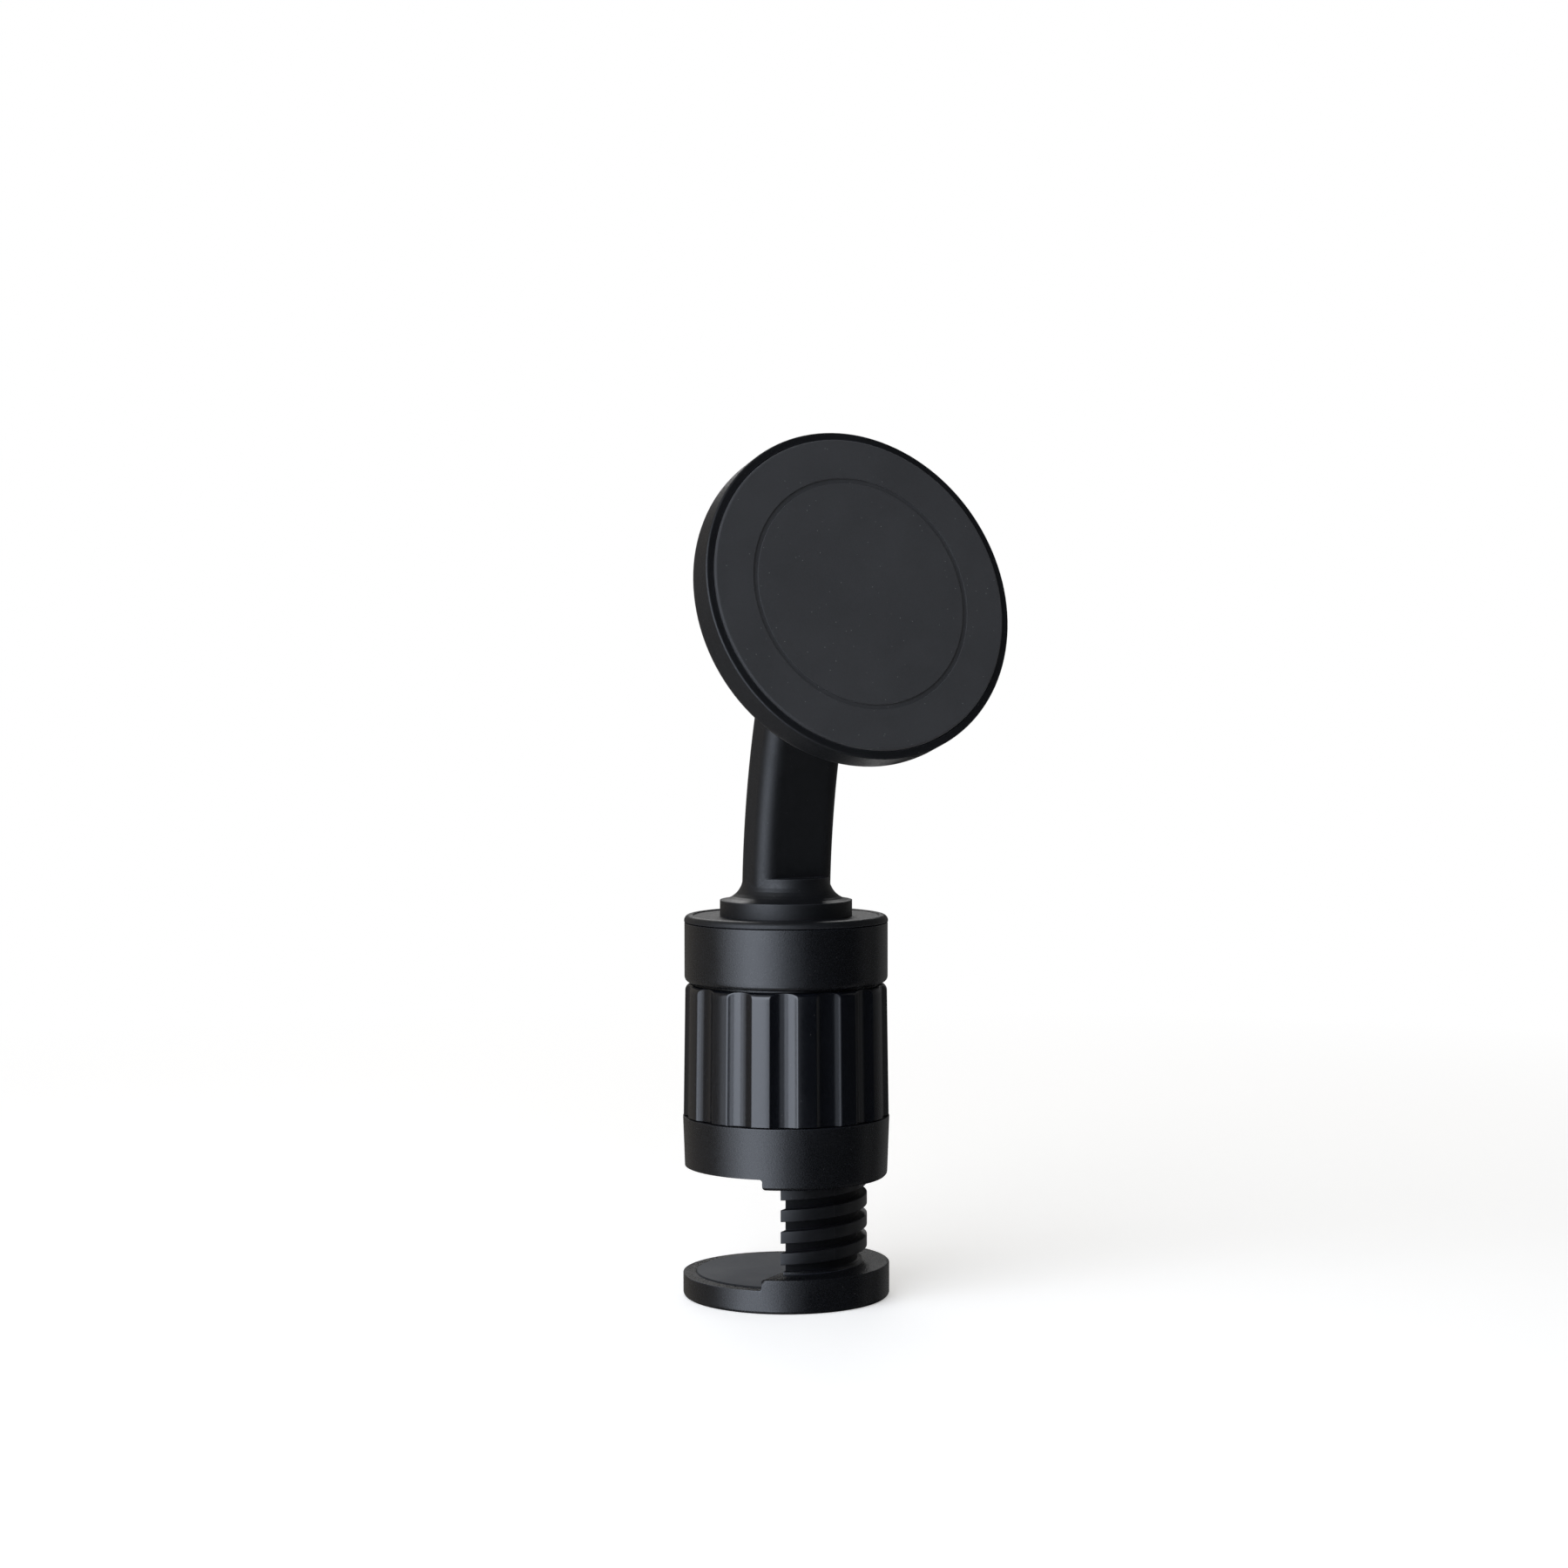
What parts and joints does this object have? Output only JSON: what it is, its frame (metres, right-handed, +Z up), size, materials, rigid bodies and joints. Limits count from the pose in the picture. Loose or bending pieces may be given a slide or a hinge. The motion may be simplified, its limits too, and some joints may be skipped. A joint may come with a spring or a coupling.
{
  "type": "magnetic phone holder",
  "caption": "Magnetic phone holder with a screw clamp for a board's edge: fluted collar, keyed threaded jaw, swivelling arm and a round tilting magnet head.",
  "frame": {"origin": "on the clamp's vertical axis, at the face of the upper grip pad, which lies on top of the board", "axes": "+Z up along the clamp's axis; X along the board's edge; +Y from the stop into the board, so -Y is the user's side"},
  "size_m": [0.0567, 0.057, 0.1489],
  "materials": {
    "jaw_plastic": "near-black moulded plastic with a fine matte grain",
    "collar_plastic": "near-black smooth satin plastic",
    "arm_plastic": "near-black matte plastic",
    "slip_plastic": "smooth natural plastic",
    "grip_rubber": "matte rubber",
    "face_silicone": "soft matte silicone",
    "screw_steel": "black oxide steel",
    "washer_steel": "zinc plated steel",
    "magnet_nickel": "nickel plated magnet"
  },
  "bodies": {
    "clamp_body": {"upper_jaw": "jaw_plastic", "upper_jaw_pad": "grip_rubber", "slip_washer": "slip_plastic", "cap": "jaw_plastic", "cap_screws": "screw_steel"},
    "collar": {"clamp_collar": "collar_plastic"},
    "lower_jaw": {"screw_jaw": "jaw_plastic", "lower_jaw_pad": "grip_rubber"},
    "swivel_arm": {"turret": "arm_plastic", "swivel_washer": "washer_steel", "swivel_screw": "screw_steel", "arm": "arm_plastic", "arm_screws": "screw_steel"},
    "knuckle": {"head_knuckle": "arm_plastic", "hinge_bolt": "screw_steel", "hinge_nut": "washer_steel", "friction_washers": "washer_steel", "spindle_washer": "washer_steel", "spindle_screw": "screw_steel"},
    "magnet_head": {"head_shell": "arm_plastic", "yoke_ring": "washer_steel", "magnets": "magnet_nickel", "front_plate": "arm_plastic", "face_pad": "face_silicone"}
  },
  "joints": [
    {"name": "collar_turn", "type": "hinge", "parent": "clamp_body", "child": "collar", "pos_m": [0, 0, 0.02], "axis": [0, 0, 1], "range_deg": [-1216, 972]},
    {"name": "jaw_slide", "type": "slide", "parent": "clamp_body", "child": "lower_jaw", "axis": [0, 0, 1], "range_m": [-0.01, 0.0125]},
    {"name": "arm_swivel", "type": "hinge", "parent": "clamp_body", "child": "swivel_arm", "pos_m": [0, 0, 0.0427], "axis": [0, 0, 1], "continuous": true},
    {"name": "head_tilt", "type": "hinge", "parent": "swivel_arm", "child": "knuckle", "pos_m": [-0.00622, -0.00888, 0.09442], "axis": [0.8192, -0.5736, 0], "range_deg": [-70, 35]},
    {"name": "head_spin", "type": "hinge", "parent": "knuckle", "child": "magnet_head", "pos_m": [-0.01526, -0.02179, 0.0993], "axis": [-0.5479, -0.7825, 0.2957], "continuous": true}
  ],
  "couplings": [
    {"joint": "jaw_slide", "follows": "collar_turn", "m_per_rad": -0.00058887}
  ]
}
